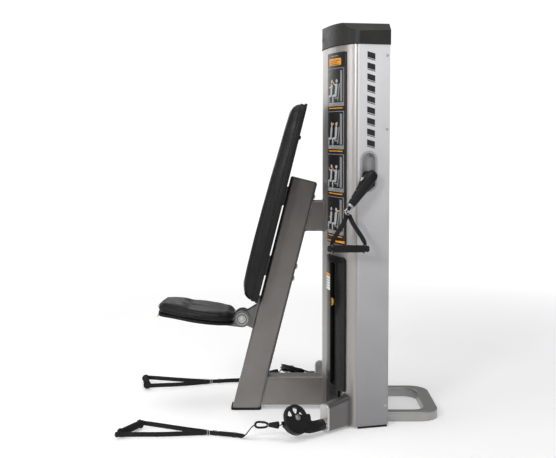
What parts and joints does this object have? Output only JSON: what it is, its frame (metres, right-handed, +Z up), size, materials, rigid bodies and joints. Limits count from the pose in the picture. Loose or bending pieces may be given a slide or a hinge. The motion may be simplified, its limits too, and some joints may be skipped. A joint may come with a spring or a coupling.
{
  "type": "seated dual-cable machine",
  "caption": "Seated cable machine: bowed tower with weight stacks, swivelling cable pulleys and handles, tilted post with back pad and fold-up seat.",
  "frame": {"origin": "on the floor under the centre of the tower", "axes": "+Z up, the user faces -Y, +X is the machine right-hand side seen from the front handles looking back"},
  "size_m": [1.053, 1.4966, 1.84],
  "materials": {
    "panel_silver": "satin",
    "panel_brushed": "brushed satin",
    "frame_bronze": "metallic satin",
    "hoop_silver": "metallic satin",
    "inner_steel": "satin",
    "cap_charcoal": "fine grain",
    "rubber_black": "matte",
    "shroud_black": "gloss",
    "placard_black": "satin print",
    "vinyl_black": "vinyl with low sheen",
    "board_black": "matte",
    "zinc": "zinc plated",
    "plate_iron": "painted",
    "pulley_nylon": "satin",
    "accent_yellow": "gloss",
    "webbing": "woven webbing"
  },
  "bodies": {
    "base": {"arm_end_caps": "zinc", "back_board": "board_black", "back_mounts": "inner_steel", "back_pad": "vinyl_black", "base_beam": "frame_bronze", "floor_arms": "frame_bronze", "front_panel": "panel_brushed", "guide_rods": "zinc", "hinge_bracket": "hoop_silver", "hinge_pin": "zinc", "placards": "placard_black", "post_foot": "rubber_black", "rear_hoop": "hoop_silver", "rear_panel": "panel_silver", "seat_post": "frame_bronze", "side_panel_left": "panel_silver", "side_panel_right": "panel_silver", "side_recesses": "shroud_black", "stack_bumpers": "rubber_black", "stack_shrouds": "shroud_black", "top_axles": "zinc", "top_cap": "cap_charcoal", "tower_feet": "rubber_black", "tower_frame": "inner_steel", "upper_bracket": "frame_bronze", "weight_plates": "plate_iron"},
    "seat": {"seat_arm": "hoop_silver", "seat_board": "board_black", "seat_pad": "vinyl_black"},
    "seat_lever": {"seat_lever": "accent_yellow"},
    "carriage_right": {"lifted_plates_right": "plate_iron", "lift_head_right": "zinc", "lift_cable_right": "zinc"},
    "pin_right": {"selector_pin_right": "accent_yellow"},
    "top_wheel_right": {"top_pulley_right": "pulley_nylon"},
    "floor_swivel_right": {"floor_swivel_right": "shroud_black", "floor_axle_right": "zinc"},
    "floor_wheel_right": {"floor_pulley_right": "pulley_nylon"},
    "floor_handle_right": {"floor_hook_right": "zinc", "floor_strap_right": "webbing"},
    "floor_grip_right": {"floor_grip_right": "rubber_black"},
    "side_swivel_right": {"side_swivel_right": "shroud_black"},
    "side_wheel_right": {"side_pulley_right": "pulley_nylon"},
    "side_handle_right": {"side_strap_right": "webbing"},
    "side_grip_right": {"side_grip_right": "rubber_black"},
    "carriage_left": {"lifted_plates_left": "plate_iron", "lift_head_left": "zinc", "lift_cable_left": "zinc"},
    "pin_left": {"selector_pin_left": "accent_yellow"},
    "top_wheel_left": {"top_pulley_left": "pulley_nylon"},
    "floor_swivel_left": {"floor_swivel_left": "shroud_black", "floor_axle_left": "zinc"},
    "floor_wheel_left": {"floor_pulley_left": "pulley_nylon"},
    "floor_handle_left": {"floor_hook_left": "zinc", "floor_strap_left": "webbing"},
    "floor_grip_left": {"floor_grip_left": "rubber_black"},
    "side_swivel_left": {"side_swivel_left": "shroud_black"},
    "side_wheel_left": {"side_pulley_left": "pulley_nylon"},
    "side_handle_left": {"side_strap_left": "webbing"},
    "side_grip_left": {"side_grip_left": "rubber_black"}
  },
  "joints": [
    {"name": "seat_fold", "type": "hinge", "parent": "base", "child": "seat", "pos_m": [0, -0.5355, 0.445], "axis": [-1, 0, 0], "range_deg": [0, 55]},
    {"name": "seat_release", "type": "hinge", "parent": "seat", "child": "seat_lever", "pos_m": [0, -0.88618, 0.46086], "axis": [1, 0, 0], "range_deg": [0, 18]},
    {"name": "stack_lift_right", "type": "slide", "parent": "base", "child": "carriage_right", "axis": [0, 0, 1], "range_m": [0, 0.15], "deforming": ["lift_cable_right"]},
    {"name": "pin_pull_right", "type": "slide", "parent": "carriage_right", "child": "pin_right", "axis": [0, -1, 0], "range_m": [0, 0.11]},
    {"name": "top_wheel_spin_right", "type": "hinge", "parent": "base", "child": "top_wheel_right", "pos_m": [0.175, 0, 1.6], "axis": [0, 1, 0], "range_deg": [-195, 195]},
    {"name": "floor_swivel_turn_right", "type": "hinge", "parent": "base", "child": "floor_swivel_right", "pos_m": [0.388, -0.146, 0.042], "axis": [-0.646, 0.7633, 0], "range_deg": [0, 110]},
    {"name": "floor_wheel_spin_right", "type": "hinge", "parent": "floor_swivel_right", "child": "floor_wheel_right", "pos_m": [0.46482, -0.28011, 0.0905], "axis": [0.6611, 0.5595, 0.5], "continuous": true},
    {"name": "floor_handle_lift_right", "type": "hinge", "parent": "floor_swivel_right", "child": "floor_handle_right", "pos_m": [0.482, -0.352, 0.066], "axis": [-0.9836, 0.1804, 0], "range_deg": [0, 60]},
    {"name": "floor_grip_spin_right", "type": "hinge", "parent": "floor_handle_right", "child": "floor_grip_right", "pos_m": [0.3915, -1.0195, 0.022], "axis": [-0.8787, 0.4774, 0], "continuous": true},
    {"name": "side_swivel_turn_right", "type": "hinge", "parent": "base", "child": "side_swivel_right", "pos_m": [0.32559, 0.048, 1.15], "axis": [-0.9644, -0.2643, 0], "range_deg": [-70, 50]},
    {"name": "side_wheel_spin_right", "type": "hinge", "parent": "side_swivel_right", "child": "side_wheel_right", "pos_m": [0.36844, 0.03469, 1.12173], "axis": [-0.2009, 0.7331, -0.6498], "continuous": true},
    {"name": "side_handle_swing_right", "type": "hinge", "parent": "side_swivel_right", "child": "side_handle_right", "pos_m": [0.422, -0.047, 1.013], "axis": [1, 0, 0], "range_deg": [-55, 55]},
    {"name": "side_grip_spin_right", "type": "hinge", "parent": "side_handle_right", "child": "side_grip_right", "pos_m": [0.43, -0.0475, 0.836], "axis": [0, 1, 0], "continuous": true},
    {"name": "stack_lift_left", "type": "slide", "parent": "base", "child": "carriage_left", "axis": [0, 0, 1], "range_m": [0, 0.15], "deforming": ["lift_cable_left"]},
    {"name": "pin_pull_left", "type": "slide", "parent": "carriage_left", "child": "pin_left", "axis": [0, -1, 0], "range_m": [0, 0.11]},
    {"name": "top_wheel_spin_left", "type": "hinge", "parent": "base", "child": "top_wheel_left", "pos_m": [-0.175, 0, 1.6], "axis": [0, 1, 0], "range_deg": [-195, 195]},
    {"name": "floor_swivel_turn_left", "type": "hinge", "parent": "base", "child": "floor_swivel_left", "pos_m": [-0.388, -0.146, 0.042], "axis": [-0.646, -0.7633, 0], "range_deg": [0, 110]},
    {"name": "floor_wheel_spin_left", "type": "hinge", "parent": "floor_swivel_left", "child": "floor_wheel_left", "pos_m": [-0.44845, -0.29397, 0.06829], "axis": [0.3584, -0.3033, -0.8829], "continuous": true},
    {"name": "floor_handle_lift_left", "type": "hinge", "parent": "floor_swivel_left", "child": "floor_handle_left", "pos_m": [-0.474, -0.364, 0.048], "axis": [-0.9836, -0.1802, 0], "range_deg": [0, 60]},
    {"name": "floor_grip_spin_left", "type": "hinge", "parent": "floor_handle_left", "child": "floor_grip_left", "pos_m": [-0.3745, -1.0645, 0.022], "axis": [-0.9783, -0.2071, 0], "continuous": true},
    {"name": "side_swivel_turn_left", "type": "hinge", "parent": "base", "child": "side_swivel_left", "pos_m": [-0.32559, 0.048, 1.15], "axis": [-0.9644, 0.2643, 0], "range_deg": [-70, 50]},
    {"name": "side_wheel_spin_left", "type": "hinge", "parent": "side_swivel_left", "child": "side_wheel_left", "pos_m": [-0.36844, 0.03469, 1.12173], "axis": [0.2009, 0.7331, -0.6498], "continuous": true},
    {"name": "side_handle_swing_left", "type": "hinge", "parent": "side_swivel_left", "child": "side_handle_left", "pos_m": [-0.422, -0.047, 1.013], "axis": [1, 0, 0], "range_deg": [-55, 55]},
    {"name": "side_grip_spin_left", "type": "hinge", "parent": "side_handle_left", "child": "side_grip_left", "pos_m": [-0.43, -0.0475, 0.836], "axis": [0, 1, 0], "continuous": true}
  ],
  "couplings": [
    {"joint": "top_wheel_spin_right", "follows": "stack_lift_right", "rad_per_m": -22.222},
    {"joint": "top_wheel_spin_left", "follows": "stack_lift_left", "rad_per_m": 22.222}
  ]
}
